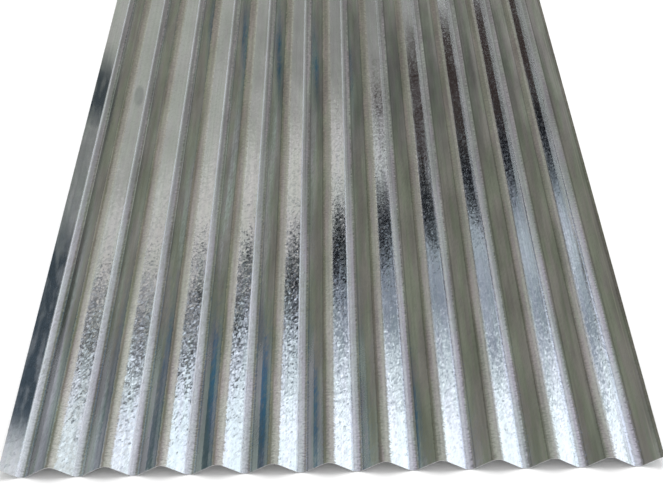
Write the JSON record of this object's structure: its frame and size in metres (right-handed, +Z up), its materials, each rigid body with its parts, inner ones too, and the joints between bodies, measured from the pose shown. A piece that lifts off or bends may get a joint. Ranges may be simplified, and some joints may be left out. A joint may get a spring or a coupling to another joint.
{
  "type": "corrugated metal sheet",
  "caption": "Flat-lying galvanised steel sheet roll-formed into parallel rounded corrugations, stock for roofing, wall cladding and fencing.",
  "frame": {"origin": "middle of the sheet in plan, on the surface that its troughs rest on", "axes": "+X across the corrugations towards the edge that laps over the next sheet, +Y along the corrugations, +Z up"},
  "size_m": [0.9, 1.8, 0.018],
  "materials": {
    "galvanised_steel": "hot-dip zinc, bright with fine spangle"
  },
  "bodies": {
    "root": {"corrugated_sheet": "galvanised_steel"}
  },
  "joints": []
}
